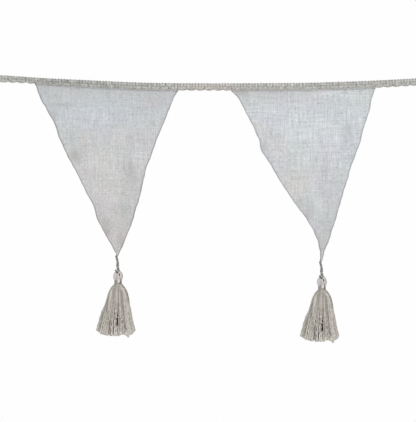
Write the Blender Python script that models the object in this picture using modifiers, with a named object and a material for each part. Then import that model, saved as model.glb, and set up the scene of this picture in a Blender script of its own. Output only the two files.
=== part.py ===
"""Fabric bunting: two sheer linen pennants under a scalloped braid trim, with a tassel on each tip.

Metres, +Z up, front towards -Y. The origin is the middle of the trim's top edge, on its flat back.
"""
import math
import random

import bmesh
import bpy
from mathutils import Vector

MM = 0.001

# Space between touching pieces, and the distance under which doubled points are one
GAP = 0.3 * MM
WELD = 1e-7

# Braid trim: its line in millimetres, with the columns along, top and height
TRIM_LINE = (
    (-254.0, 9.9, 8.1),
    (-233.0, 9.0, 8.1),
    (-214.0, 8.0, 7.7),
    (-199.0, 6.7, 7.3),
    (-180.0, 5.6, 8.2),
    (-150.0, 4.1, 8.7),
    (-110.0, 2.2, 8.8),
    (-70.0, 0.5, 8.8),
    (-33.0, 0.1, 8.8),
    (0.0, 0.0, 8.8),
    (60.0, 0.0, 8.8),
    (108.0, 0.2, 8.8),
    (150.0, 1.4, 8.7),
    (188.0, 2.8, 8.7),
    (215.0, 4.4, 8.5),
    (247.0, 6.2, 8.2),
)
TRIM_BLEND = 10.0
SCALLOP_PITCH = 10.0 * MM
SCALLOP_CREST = 1.4 * MM
SCALLOP_DEPTH = 1.2 * MM
SCALLOP_STEPS = 4
SHORTEST_STEP = 0.3
CORD_RISE = 1.5 * MM
CORD_WAVE = 1.7
HEADER_DROP = 1.5 * MM
HOLE_DROP = 3.3 * MM
EDGE_THICK = 0.9 * MM
HEADER_THICK = 1.4 * MM
HOLE_THICK = 1.0 * MM
CORD_THICK = 1.8 * MM

# Pennants: cloth and hem
CLOTH_THICK = 1.2 * MM
HEM_THICK = 1.8 * MM
HEM_WIDTH = 1.4 * MM
HEM_SHARE = 0.22
TUCKED = 2.5 * MM
PENNANT_ROWS = 25
PENNANT_COLUMNS = 9
CLOTH_Y = GAP + HEM_THICK / 2
FOLD_FADE = 24.0 * MM

# Outlines in millimetres, with the columns height, left edge and right edge
OUTLINES = {
    "left": (
        (3.0, -194.2, -32.0),
        (-10.6, -190.3, -34.8),
        (-17.4, -187.6, -38.6),
        (-44.2, -173.1, -49.2),
        (-51.0, -170.0, -52.5),
        (-57.7, -168.4, -55.3),
        (-84.6, -156.4, -64.8),
        (-98.0, -148.3, -69.9),
        (-111.4, -141.8, -73.0),
        (-124.9, -135.4, -75.5),
        (-138.3, -127.8, -79.7),
        (-145.0, -126.5, -81.8),
        (-151.8, -124.5, -83.2),
        (-171.9, -114.2, -90.8),
        (-185.4, -106.2, -97.0),
        (-193.2, -102.4, -100.4),
    ),
    "right": (
        (3.0, 26.0, 188.0),
        (-9.5, 27.0, 186.0),
        (-17.4, 34.0, 183.7),
        (-30.8, 41.3, 180.8),
        (-51.0, 51.4, 174.4),
        (-64.4, 57.6, 171.1),
        (-71.1, 58.4, 168.6),
        (-77.8, 60.7, 166.4),
        (-91.3, 70.0, 161.1),
        (-111.4, 81.4, 155.2),
        (-131.6, 94.8, 149.0),
        (-151.8, 110.0, 143.7),
        (-165.2, 118.2, 139.0),
        (-178.6, 123.2, 134.9),
        (-188.0, 125.2, 131.0),
        (-199.2, 126.0, 128.0),
    ),
}

# Folds in millimetres, with the columns x and z of both ends, width and height towards the viewer
FOLDS = {
    "left": (
        (-99.0, -78.0, -78.0, -122.0, 7.0, -2.2),
        (-117.0, -32.0, -104.0, -96.0, 11.0, 2.4),
        (-150.0, -66.0, -136.0, -92.0, 6.0, -1.8),
        (-82.0, -40.0, -72.0, -92.0, 9.0, 1.8),
        (-117.0, -112.0, -112.0, -142.0, 5.0, -1.6),
        (-160.0, -28.0, -148.0, -52.0, 9.0, -1.2),
        (-107.0, -140.0, -88.0, -143.0, 4.0, -1.4),
        (-98.0, -124.0, -100.0, -172.0, 5.0, 1.6),
    ),
    "right": (
        (98.0, -28.0, 104.0, -78.0, 12.0, 2.6),
        (62.0, -58.0, 82.0, -82.0, 6.0, -2.0),
        (133.0, -72.0, 131.0, -122.0, 5.0, -2.0),
        (160.0, -40.0, 155.0, -76.0, 6.0, -1.8),
        (150.0, -84.0, 143.0, -132.0, 6.0, 1.6),
        (98.0, -112.0, 116.0, -146.0, 6.0, -1.8),
        (112.0, -92.0, 122.0, -150.0, 7.0, 2.0),
        (136.0, -148.0, 132.0, -172.0, 4.0, -1.2),
    ),
}

# Tassel: its neck's centre below each pennant, in millimetres across and up
NECKS = {"left": (-100.8, -222.9), "right": (127.8, -229.2)}
TASSEL_Y = CLOTH_Y + HEM_THICK / 2 + GAP + 1.3 * MM
HEAD_SIDES = 32
CROWN_LOBE = 0.35 * MM
NECK_RADIUS = 3.1 * MM
NECK_HALF = 2.9 * MM

# Crown profile in millimetres, with the columns height above the neck's centre and radius
CROWN_PROFILE = (
    (11.7, 2.0),
    (10.6, 3.7),
    (8.4, 4.9),
    (5.6, 5.2),
    (3.9, 4.5),
    (3.1, 3.4),
)
CROWN_TOP = 12.0 * MM

# Skirt in millimetres, with the columns drop below the neck's centre, reach left and reach right
SKIRT = (
    (2.9, 4.4, 4.5),
    (5.0, 7.2, 7.1),
    (8.4, 9.3, 9.1),
    (11.8, 11.2, 11.0),
    (18.5, 13.7, 12.6),
    (25.2, 15.9, 13.8),
    (31.9, 18.5, 14.9),
    (38.6, 20.9, 16.1),
    (45.4, 22.6, 17.3),
    (52.1, 24.6, 19.2),
    (62.0, 26.6, 21.4),
)
SKIRT_DEPTH = 0.76
FLATTENING_DROP = 10.0
SKIRT_BLEND = 2.0
SHOULDER_DROPS = (2.9, 4.6, 7.4, 11.0)
SHOULDER_INSET = 0.95 * MM

# Rings of yarn in the skirt, with the columns number, share of the reach and root's drop in millimetres
YARN_RINGS = (
    (34, 1.0, 4.4),
    (20, 0.68, 10.0),
    (10, 0.36, 10.0),
)
YARN_ROOT_RADIUS = 0.55 * MM
YARN_END_RADIUS = 1.0 * MM
YARN_SUNK = 0.4 * MM
OUTER_STATIONS = (0.0, 0.07, 0.16, 0.35, 0.65, 1.0)
INNER_STATIONS = (0.0, 0.3, 0.65, 1.0)
YARN_WAVE = 0.55 * MM
YARN_WAVE_TURN = 9.0
SINKING_SHARE = 0.25
SKIRT_END = 61.0
END_RISE_LEFT = 8.0
END_RISE_RIGHT = 5.0
END_SCATTER = 1.3

# Hanger: a two-ply cord, its route in millimetres from the neck's centre
HANGER_ROUTE = (
    (-1.8, 0.0, 32.6),
    (-2.1, 0.0, 29.4),
    (-0.8, -0.2, 22.6),
    (-0.2, -1.1, 16.0),
    (1.2, -2.2, 12.0),
    (1.6, -2.4, 9.4),
    (1.3, -1.9, 7.0),
    (0.2, 0.0, 5.8),
    (-0.8, 1.9, 7.0),
    (-1.1, 2.4, 9.4),
    (-1.9, 2.5, 12.2),
    (-3.3, 2.5, 14.3),
)
HANGER_RADIUS = 1.3 * MM
HANGER_WAIST = 0.75 * MM
HANGER_SIDES = 8
HANGER_STEPS = 36
HANGER_LAY = 6.8 * MM
ROUTE_PARTS = 20
EYE_CLEARANCE = 0.35 * MM
EYE_FROM = 4
EYE_POINTS = 20

# Binding: thread wound round the neck
BINDING_TURNS = 4
BINDING_THREAD = 0.62 * MM
BINDING_SIDES = 18
BINDING_INNER = NECK_RADIUS + GAP
BINDING_VALLEY = BINDING_INNER + 0.45 * MM
BINDING_CREST = BINDING_INNER + 2 * BINDING_THREAD
BINDING_LIP = 0.1 * MM
KNOT_RADIUS = 1.1 * MM
KNOT_SUNK = 0.25 * MM
KNOT_ANGLE = math.radians(-72)

# Colours, with the columns red, green, blue and roughness
COLOURS = {
    "trim_braid": (0.45, 0.44, 0.42, 0.85),
    "pennant_linen": (0.60, 0.61, 0.62, 0.9),
    "hanger_cord": (0.20, 0.20, 0.18, 0.8),
    "tassel_yarn": (0.40, 0.37, 0.34, 0.9),
    "binding_thread": (0.44, 0.42, 0.38, 0.8),
}

SEED = 7


def clear_scene():
    for thing in list(bpy.data.objects):
        bpy.data.objects.remove(thing, do_unlink=True)


def new_collection(name):
    collection = bpy.data.collections.new(name)
    bpy.context.scene.collection.children.link(collection)
    return collection


def make_materials():
    materials = {}
    for name, (red, green, blue, roughness) in COLOURS.items():
        material = bpy.data.materials.new(name)
        material.use_nodes = True
        shader = material.node_tree.nodes["Principled BSDF"]
        shader.inputs["Base Color"].default_value = (red, green, blue, 1.0)
        shader.inputs["Roughness"].default_value = roughness
        shader.inputs["Metallic"].default_value = 0.0
        materials[name] = material
    return materials


def between(rows, at, column):
    """A table's column at a place in its first column, along straight lines."""
    ordered = sorted(rows)
    if at <= ordered[0][0]:
        return ordered[0][column]
    for low, high in zip(ordered, ordered[1:]):
        if at <= high[0]:
            share = (at - low[0]) / (high[0] - low[0])
            return low[column] + (high[column] - low[column]) * share
    return ordered[-1][column]


def softened(rows, at, column, reach):
    """The same, averaged over a short reach so that the line has no corners."""
    shifts = (-1.0, -0.5, 0.0, 0.5, 1.0)
    return sum(between(rows, at + reach * shift, column) for shift in shifts) / len(shifts)


def smoothstep(share):
    share = min(max(share, 0.0), 1.0)
    return share * share * (3 - 2 * share)


def smooth_route(points, count):
    """Points at even steps along a Catmull-Rom curve through the route's own points."""
    points = [Vector(point) for point in points]
    padded = [points[0] * 2 - points[1]] + points + [points[-1] * 2 - points[-2]]
    fine = []
    for before, start, end, after in zip(padded, padded[1:], padded[2:], padded[3:]):
        for step in range(ROUTE_PARTS):
            t = step / ROUTE_PARTS
            pull = (end - before) * t + (2 * before - 5 * start + 4 * end - after) * t ** 2
            pull += (3 * start - before - 3 * end + after) * t ** 3
            fine.append(start + pull / 2)
    fine.append(points[-1])
    lengths = [0.0]
    for low, high in zip(fine, fine[1:]):
        lengths.append(lengths[-1] + (high - low).length)
    route = []
    spot = 0
    for step in range(count):
        want = lengths[-1] * step / (count - 1)
        while spot < len(fine) - 2 and lengths[spot + 1] < want:
            spot += 1
        share = (want - lengths[spot]) / max(lengths[spot + 1] - lengths[spot], 1e-12)
        route.append(fine[spot].lerp(fine[spot + 1], min(max(share, 0.0), 1.0)))
    return route


def place(name, mesh, collection, material, location=(0, 0, 0)):
    thing = bpy.data.objects.new(name, mesh)
    thing.location = location
    collection.objects.link(thing)
    if material and not mesh.materials:
        mesh.materials.append(material)
    return thing


def skin(name, rings, top=None):
    """A closed mesh through rings of points, with flat ends or a point at the top."""
    shape = bmesh.new()
    rows = [[shape.verts.new(point) for point in ring] for ring in rings]
    for upper, lower in zip(rows, rows[1:]):
        for spot in range(len(upper)):
            after = (spot + 1) % len(upper)
            shape.faces.new((upper[spot], upper[after], lower[after], lower[spot]))
    if top is None:
        shape.faces.new(reversed(rows[0]))
    else:
        peak = shape.verts.new(top)
        for spot in range(len(rows[0])):
            shape.faces.new((rows[0][(spot + 1) % len(rows[0])], rows[0][spot], peak))
    shape.faces.new(rows[-1])
    bmesh.ops.recalc_face_normals(shape, faces=shape.faces)
    mesh = bpy.data.meshes.new(name)
    shape.to_mesh(mesh)
    shape.free()
    return mesh


def baked(thing, weld=None):
    """The evaluated mesh of an object, which is then removed."""
    evaluated = thing.evaluated_get(bpy.context.evaluated_depsgraph_get())
    mesh = bpy.data.meshes.new_from_object(evaluated)
    if weld:
        shape = bmesh.new()
        shape.from_mesh(mesh)
        bmesh.ops.remove_doubles(shape, verts=shape.verts, dist=weld)
        bmesh.ops.recalc_face_normals(shape, faces=shape.faces)
        shape.to_mesh(mesh)
        shape.free()
    bpy.data.objects.remove(thing, do_unlink=True)
    return mesh


def trim_top(along):
    return softened(TRIM_LINE, along / MM, 1, TRIM_BLEND) * MM


def trim_height(along):
    return softened(TRIM_LINE, along / MM, 2, TRIM_BLEND) * MM


def scallop(along):
    """0 between two scallops and 1 on the crest of each."""
    across = ((along - SCALLOP_CREST) / SCALLOP_PITCH + 0.5) % 1.0
    return 1 - (2 * across - 1) ** 2


def trim_section(along):
    """The braid's cross-section: flat back, raised header, a row of small holes and a scallop cord."""
    top = trim_top(along)
    crest = scallop(along)
    low = top - trim_height(along) + SCALLOP_DEPTH * (1 - crest)
    cord = top - trim_height(along) + CORD_RISE + SCALLOP_DEPTH * CORD_WAVE * (1 - crest)
    profile = (
        (0.0, top),
        (-EDGE_THICK, top),
        (-HEADER_THICK, top - HEADER_DROP),
        (-HOLE_THICK, top - HOLE_DROP),
        (-CORD_THICK, cord),
        (-EDGE_THICK, low),
        (0.0, low),
    )
    return [Vector((along, depth, height)) for depth, height in profile]


def make_trim(collection, materials):
    start = TRIM_LINE[0][0] * MM
    end = TRIM_LINE[-1][0] * MM
    step = SCALLOP_PITCH / SCALLOP_STEPS
    first = math.ceil((start - SCALLOP_CREST) / step + SHORTEST_STEP)
    last = math.floor((end - SCALLOP_CREST) / step - SHORTEST_STEP)
    places = [start] + [SCALLOP_CREST + step * count for count in range(first, last + 1)] + [end]
    mesh = skin("trim", [trim_section(along) for along in places])
    return place("trim", mesh, collection, materials["trim_braid"])


def fold_depth(side, x, z):
    """How far the cloth stands towards the viewer at a place, from its folds."""
    depth = 0.0
    for x_start, z_start, x_end, z_end, width, height in FOLDS[side]:
        start = Vector((x_start, z_start)) * MM
        run = Vector((x_end, z_end)) * MM - start
        spot = Vector((x, z)) - start
        share = min(max(spot.dot(run) / run.length_squared, 0.0), 1.0)
        away = (spot - run * share).length / (width * MM)
        depth += height * MM * math.exp(-away * away)
    return depth


def cloth_point(side, x, z):
    rows = OUTLINES[side]
    hidden = trim_top(x) - trim_height(x)
    fade = smoothstep((hidden - z) / FOLD_FADE) * smoothstep((z - rows[-1][0] * MM) / FOLD_FADE)
    return Vector((x, CLOTH_Y - fold_depth(side, x, z) * fade, z))


def top_edge_rise(side, across):
    """How far the trim's curve lies above the straight line between the pennant's top corners."""
    left = OUTLINES[side][0][1] * MM
    right = OUTLINES[side][0][2] * MM
    chord = trim_top(left) + (trim_top(right) - trim_top(left)) * across
    return trim_top(left + (right - left) * across) - chord


def make_pennant(side, collection, materials):
    rows = OUTLINES[side]
    tip = rows[-1][0] * MM
    shape = bmesh.new()
    weights = []
    grid = []
    for row in range(PENNANT_ROWS):
        down = row / (PENNANT_ROWS - 1)
        edges = []
        for column in (1, 2):
            corner = trim_top(rows[0][column] * MM) - TUCKED
            height = corner + (tip - corner) * down
            edges.append((between(rows, height / MM, column) * MM, height))
        (left, left_height), (right, right_height) = edges
        width = right - left
        hem = min(HEM_WIDTH / width, HEM_SHARE)
        inner = [hem + (1 - 2 * hem) * spot / (PENNANT_COLUMNS - 1) for spot in range(PENNANT_COLUMNS)]
        line = []
        for across in [0.0] + inner + [1.0]:
            x = left + width * across
            chord = left_height + (right_height - left_height) * across
            rise = top_edge_rise(side, across) * (1 - down) ** 3
            line.append(shape.verts.new(cloth_point(side, x, chord + rise)))
            on_hem = across <= hem or across >= 1 - hem
            weights.append(1.0 if on_hem else CLOTH_THICK / HEM_THICK)
        grid.append(line)
    for upper, lower in zip(grid, grid[1:]):
        for spot in range(len(upper) - 1):
            shape.faces.new((upper[spot], lower[spot], lower[spot + 1], upper[spot + 1]))
    name = "pennant_" + side
    mesh = bpy.data.meshes.new(name)
    shape.to_mesh(mesh)
    shape.free()
    thing = place(name, mesh, collection, materials["pennant_linen"])
    group = thing.vertex_groups.new(name="thickness")
    for spot, weight in enumerate(weights):
        group.add([spot], weight, "REPLACE")
    solid = thing.modifiers.new("cloth", "SOLIDIFY")
    solid.thickness = HEM_THICK
    solid.offset = 0.0
    solid.vertex_group = group.name
    return thing


def head_ring(height, radius, lobe=0.0, reach_right=None, depth=1.0):
    """A ring of the tassel's head, round or wider to one side, with raised yarns."""
    ring = []
    for spot in range(HEAD_SIDES):
        angle = 2 * math.pi * spot / HEAD_SIDES
        wide = radius
        if reach_right is not None and math.cos(angle) > 0:
            wide = reach_right
        raised = lobe if spot % 2 else -lobe
        x = (wide + raised) * math.cos(angle)
        y = (wide + raised) * math.sin(angle) * depth
        ring.append(Vector((x, y, height)))
    return ring


def skirt_reach(drop, column):
    return softened(SKIRT, drop, column, SKIRT_BLEND) * MM


def skirt_depth(drop):
    """The skirt is round at the neck and flatter from front to back below it."""
    return 1 - (1 - SKIRT_DEPTH) * smoothstep((drop - SHOULDER_DROPS[0]) / FLATTENING_DROP)


def make_head():
    rings = []
    for height, radius in CROWN_PROFILE:
        rings.append(head_ring(height * MM, radius * MM, CROWN_LOBE))
    rings.append(head_ring(NECK_HALF, NECK_RADIUS))
    rings.append(head_ring(-NECK_HALF, NECK_RADIUS))
    for drop in SHOULDER_DROPS:
        left = skirt_reach(drop, 1) - SHOULDER_INSET
        right = skirt_reach(drop, 2) - SHOULDER_INSET
        rings.append(head_ring(-(drop * MM + GAP), left, 0.0, right, skirt_depth(drop)))
    return skin("head", rings, top=(0, 0, CROWN_TOP))


def yarn_points(angle, share, root, chance):
    """One yarn of the skirt, from its root on the shoulder to its uneven end."""
    side = math.cos(angle)
    rise = END_RISE_LEFT if side < 0 else END_RISE_RIGHT
    end = SKIRT_END - rise * (side * share) ** 2 + chance.uniform(-END_SCATTER, END_SCATTER)
    wave = chance.uniform(0, 2 * math.pi)
    points = []
    for down in OUTER_STATIONS if share == 1.0 else INNER_STATIONS:
        drop = root + (end - root) * down
        radius = YARN_ROOT_RADIUS + (YARN_END_RADIUS - YARN_ROOT_RADIUS) * down
        column = 1 if side < 0 else 2
        sunk = YARN_SUNK * (1 - smoothstep(down / SINKING_SHARE))
        reach = share * (skirt_reach(drop, column) - radius - sunk)
        sway = YARN_WAVE * down * math.sin(wave + down * YARN_WAVE_TURN)
        turned = angle + sway / max(reach, 2 * MM)
        y = reach * math.sin(turned) * skirt_depth(drop)
        spot = Vector((reach * math.cos(turned), y, -drop * MM))
        points.append((spot, radius))
    return points


def make_yarns():
    """All the skirt's yarns as one curve of four-sided splines, made a mesh."""
    chance = random.Random(SEED)
    curve = bpy.data.curves.new("yarns", "CURVE")
    curve.dimensions = "3D"
    curve.bevel_depth = 1.0
    curve.bevel_resolution = 0
    curve.render_resolution_u = 0
    curve.use_fill_caps = True
    for number, share, root in YARN_RINGS:
        for count in range(number):
            angle = 2 * math.pi * (count + 0.5) / number - math.pi / 2
            points = yarn_points(angle, share, root, chance)
            spline = curve.splines.new("POLY")
            spline.points.add(len(points) - 1)
            for target, (spot, radius) in zip(spline.points, points):
                target.co = (*spot, 1.0)
                target.radius = radius
    thing = bpy.data.objects.new("yarns", curve)
    bpy.context.scene.collection.objects.link(thing)
    return baked(thing, weld=WELD)


def tube(name, route, radius):
    """A round tube along a route, made a mesh, for cutting."""
    curve = bpy.data.curves.new(name, "CURVE")
    curve.dimensions = "3D"
    curve.bevel_depth = radius
    curve.bevel_resolution = 2
    curve.render_resolution_u = 0
    curve.use_fill_caps = True
    spline = curve.splines.new("POLY")
    spline.points.add(len(route) - 1)
    for target, spot in zip(spline.points, route):
        target.co = (*spot, 1.0)
    thing = bpy.data.objects.new(name, curve)
    bpy.context.scene.collection.objects.link(thing)
    return baked(thing, weld=WELD)


def helper(name, mesh, cutters):
    thing = place(name, mesh, cutters, None)
    thing.hide_render = True
    thing.display_type = "WIRE"
    return thing


def combine(thing, other, operation):
    step = thing.modifiers.new(operation.lower(), "BOOLEAN")
    step.operation = operation
    step.solver = "EXACT"
    step.object = other


def make_tassel_mesh(collection, cutters):
    """Crown, neck and shoulder in one, with the skirt's yarns joined on and the cord's eye cut."""
    thing = place("tassel", make_head(), collection, None)
    combine(thing, helper("yarns", make_yarns(), cutters), "UNION")
    eye = [Vector(point) * MM for point in HANGER_ROUTE[EYE_FROM - 1:]]
    eye_mesh = tube("eye", smooth_route(eye, EYE_POINTS), HANGER_RADIUS + EYE_CLEARANCE)
    combine(thing, helper("eye", eye_mesh, cutters), "DIFFERENCE")
    bpy.context.view_layer.update()
    return baked(thing)


def make_hanger_mesh():
    """A two-ply cord: a section with two lobes that turns along its route."""
    route = smooth_route([Vector(point) * MM for point in HANGER_ROUTE], HANGER_STEPS)
    travelled = 0.0
    rings = []
    side = Vector((0, -1, 0))
    for spot, place_on in enumerate(route):
        before = route[max(spot - 1, 0)]
        after = route[min(spot + 1, len(route) - 1)]
        along = (after - before).normalized()
        side = (side - along * side.dot(along)).normalized()
        other = along.cross(side)
        travelled += (place_on - before).length
        turn = 2 * math.pi * travelled / HANGER_LAY
        ring = []
        for step in range(HANGER_SIDES):
            angle = 2 * math.pi * step / HANGER_SIDES
            radius = HANGER_WAIST + (HANGER_RADIUS - HANGER_WAIST) * abs(math.cos(angle))
            turned = angle + turn
            ring.append(place_on + (side * math.cos(turned) + other * math.sin(turned)) * radius)
        rings.append(ring)
    return skin("hanger", rings)


def make_binding_mesh(collection, cutters):
    """Turns of thread side by side round the neck, with the knot that closes them."""
    half = BINDING_TURNS * BINDING_THREAD
    outline = [(BINDING_INNER, half - BINDING_LIP)]
    for turn in range(BINDING_TURNS):
        middle = half - BINDING_THREAD * (2 * turn + 1)
        outline.append((BINDING_VALLEY, middle + BINDING_THREAD - BINDING_LIP))
        outline.append((BINDING_CREST, middle))
    outline.append((BINDING_VALLEY, -half + BINDING_LIP))
    outline.append((BINDING_INNER, -half + BINDING_LIP))
    shape = bmesh.new()
    corners = [shape.verts.new((radius, 0, height)) for radius, height in outline]
    for start, end in zip(corners, corners[1:] + corners[:1]):
        shape.edges.new((start, end))
    mesh = bpy.data.meshes.new("binding")
    shape.to_mesh(mesh)
    shape.free()
    thing = place("binding", mesh, collection, None)
    turning = thing.modifiers.new("turn", "SCREW")
    turning.axis = "Z"
    turning.steps = BINDING_SIDES
    turning.render_steps = BINDING_SIDES
    turning.use_merge_vertices = True
    turning.merge_threshold = WELD
    ring = place("ring", baked(thing, weld=WELD), collection, None)
    knot = bpy.data.meshes.new("knot")
    shape = bmesh.new()
    bmesh.ops.create_icosphere(shape, subdivisions=2, radius=KNOT_RADIUS)
    across = Vector((math.cos(KNOT_ANGLE), math.sin(KNOT_ANGLE), 0.0))
    middle = across * (BINDING_CREST - KNOT_SUNK)
    bmesh.ops.translate(shape, verts=shape.verts, vec=middle)
    shape.to_mesh(knot)
    shape.free()
    combine(ring, helper("knot", knot, cutters), "UNION")
    bpy.context.view_layer.update()
    return baked(ring)


def main():
    clear_scene()
    collection = new_collection("fabric_bunting")
    cutters = new_collection("cutters")
    materials = make_materials()
    make_trim(collection, materials)
    for side in OUTLINES:
        make_pennant(side, collection, materials)
    repeated = (
        ("tassel", make_tassel_mesh(collection, cutters), "tassel_yarn"),
        ("hanger", make_hanger_mesh(), "hanger_cord"),
        ("binding", make_binding_mesh(collection, cutters), "binding_thread"),
    )
    for side, (across, up) in NECKS.items():
        for name, mesh, finish in repeated:
            spot = (across * MM, TASSEL_Y, up * MM)
            place(f"{name}_{side}", mesh, collection, materials[finish], spot)


main()
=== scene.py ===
"""Looks of the fabric bunting: sheer linen pennants, a crocheted braid trim, cords and yarn tassels.

Metres, +Z up, front towards -Y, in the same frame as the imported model.
"""

import math
import random

import bpy
import numpy as np
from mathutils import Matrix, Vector


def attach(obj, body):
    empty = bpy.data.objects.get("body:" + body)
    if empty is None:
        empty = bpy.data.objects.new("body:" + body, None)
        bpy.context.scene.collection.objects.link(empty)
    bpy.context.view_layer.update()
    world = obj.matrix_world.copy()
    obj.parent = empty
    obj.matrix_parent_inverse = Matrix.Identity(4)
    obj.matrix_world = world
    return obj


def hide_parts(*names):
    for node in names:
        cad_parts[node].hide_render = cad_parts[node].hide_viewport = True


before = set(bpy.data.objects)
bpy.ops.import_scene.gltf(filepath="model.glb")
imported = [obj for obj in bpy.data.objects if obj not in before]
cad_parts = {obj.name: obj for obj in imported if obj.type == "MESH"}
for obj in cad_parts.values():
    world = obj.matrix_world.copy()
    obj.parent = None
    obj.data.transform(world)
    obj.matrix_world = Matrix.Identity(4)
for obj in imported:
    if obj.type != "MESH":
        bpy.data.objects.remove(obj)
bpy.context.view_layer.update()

MM = 0.001
TURN = 2 * math.pi

# Photograph: its height in pixels, and what one pixel and its middle are on the object
PHOTO_TALL = 422
PIXEL = 1.12 * MM
MIDDLE_Z = -143.4 * MM
CAMERA_DISTANCE = 2.6
SENSOR = 36.0

# Stage: lights with the columns name, place, size and power, the surround's strengths, and the floor
LIGHTS = (
    ("key_light", (-0.7, -1.6, 0.55), 1.2, 17.5),
    ("fill_light", (1.1, -1.2, -0.35), 1.2, 5.5),
)
SURROUND_LIGHT = 0.6
SURROUND_SEEN = 0.99
FLOOR_RADIUS = 1.1
FLOOR_Z = -1.0
WHITE = (1.0, 1.0, 1.0, 1.0)
FLOOR_COLOUR = (0.86, 0.86, 0.86, 1.0)

# Yarn colours, with the columns darkest, lightest, cool tint and warm tint
TINTS = ((0.965, 0.993, 1.025), (1.05, 1.0, 0.92))
YARN_COLOURS = {
    "trim_braid": ((0.21, 0.212, 0.2), (0.68, 0.677, 0.655), (0.985, 1.0, 0.98), (1.10, 1.02, 1.0)),
    "tassel_yarn": ((0.25, 0.23, 0.205), (0.68, 0.655, 0.62), (1.012, 0.987, 1.0), (1.003, 1.0, 0.93)),
    "hem_thread": ((0.30, 0.30, 0.31), (0.66, 0.66, 0.68), *TINTS),
    "hanger_cord": ((0.13, 0.13, 0.115), (0.36, 0.355, 0.325), *TINTS),
    "binding_thread": ((0.165, 0.157, 0.145), (0.86, 0.84, 0.82), *TINTS),
}
# Linen colours: the threads, their faint cast, the cool and warm tint, and the darkest shade
LINEN_THREADS = ((0.53, 0.524, 0.522), (0.965, 0.948, 0.942))
LINEN_CASTS = ((1.007, 0.995, 1.004), (0.991, 1.006, 0.991))
LINEN_TINTS = ((0.942, 0.998, 1.042), (1.013, 1.0, 0.992))
LINEN_SHADES = ((1.0, 1.0, 1.0), (0.52, 0.515, 0.51))

# Trim line in millimetres, with the columns along, top and height
TRIM_LINE = (
    (-254, 10, 8.8), (-233, 9.1, 8.8), (-214, 8, 8.2), (-199, 6.7, 7.6), (-180, 5.6, 8.2),
    (-150, 4.1, 8.7), (-110, 2.2, 8.8), (-70, 0.5, 8.8), (-33, 0.1, 8.9), (0, 0, 9), (60, 0.1, 8.9),
    (108, 0.4, 8.9), (150, 1.6, 8.9), (188, 3.1, 9.1), (215, 4.5, 9), (247, 6.2, 8.5),
)
TRIM_BLEND = 10.0
# How the braid's tone shifts, with the columns along and shift
TRIM_SHADE = (
    (-215, -0.05), (-193, -0.18), (-160, -0.17), (-87, -0.11), (-30, -0.03), (0, 0.03), (70, -0.01),
    (142, -0.02), (209, -0.01),
)
SCALLOP_PITCH = 10.0 * MM
SCALLOP_CREST = 1.4 * MM
SCALLOP_DEPTH = 1.2 * MM
PICOT_PITCH = SCALLOP_PITCH / 3
BRAID_TALL = 8.8 * MM
POST_RADIUS = 0.48 * MM
BAR_RADIUS = 0.42 * MM
PICOT_RADIUS = 0.36 * MM
RAIL_RADIUS = 0.38 * MM
SPOKE_RADIUS = 0.46 * MM
CORD_RADIUS = 0.36 * MM
CORD_OFFSET = 0.24 * MM
CORD_LAY = 2.9 * MM
EDGE_RADIUS = 0.42 * MM
SPOKES = 9
# A spoke's head and foot as shares of the scallop's width, and drops to the ladder's foot in millimetres
SPOKE_HEAD = 0.34
SPOKE_FOOT = 0.46
POST_DROP = 4.8
RAIL_DROP = 4.85
SPOKE_DROP = 4.9
# The rise of a stitch at even steps along it
BULGE = np.sin(np.linspace(0, math.pi, 6))
# Stitches of one post, with the columns place across in millimetres and pinch, and where they pinch
POSTS = ((-0.86, 0.3), (-0.05, 0.0), (0.80, 0.3))
POST_WAIST = np.array((0.2, 0.0, 0.1, 0.6, 0.9, 0.1))
# Bars between two posts, with the columns drop and rise in millimetres, and tone
BARS = ((1.55, 0.2, 0.46), (2.3, -0.15, 0.6), (2.95, -0.2, 0.54))

# Pennant outlines in millimetres, with the columns height, left edge and right edge
OUTLINES = {
    "left": (
        (3, -194.2, -32), (-10.6, -190.3, -34.8), (-17.4, -187.6, -38.6), (-44.2, -173.1, -49.2),
        (-51, -170, -52.5), (-57.7, -168.4, -55.3), (-84.6, -156.4, -64.8), (-98, -148.3, -69.9),
        (-111.4, -141.8, -73), (-124.9, -135.4, -75.5), (-138.3, -127.8, -79.7),
        (-145, -126.5, -81.8), (-151.8, -124.5, -83.2), (-171.9, -114.2, -90.8),
        (-185.4, -106.2, -97), (-193.9, -101.9, -100.8),
    ),
    "right": (
        (3, 26, 188), (-9.5, 27, 186), (-17.4, 34, 183.7), (-30.8, 41.3, 180.8), (-51, 51.4, 174.4),
        (-64.4, 57.6, 171.1), (-71.1, 58.4, 168.6), (-77.8, 60.7, 166.4), (-91.3, 70, 161.1),
        (-111.4, 81.4, 155.2), (-131.6, 94.8, 149), (-151.8, 110, 143.7), (-165.2, 118.2, 139),
        (-178.6, 123.2, 134.9), (-188, 125.4, 130.6), (-199.2, 126.3, 127.7),
    ),
}

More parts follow.
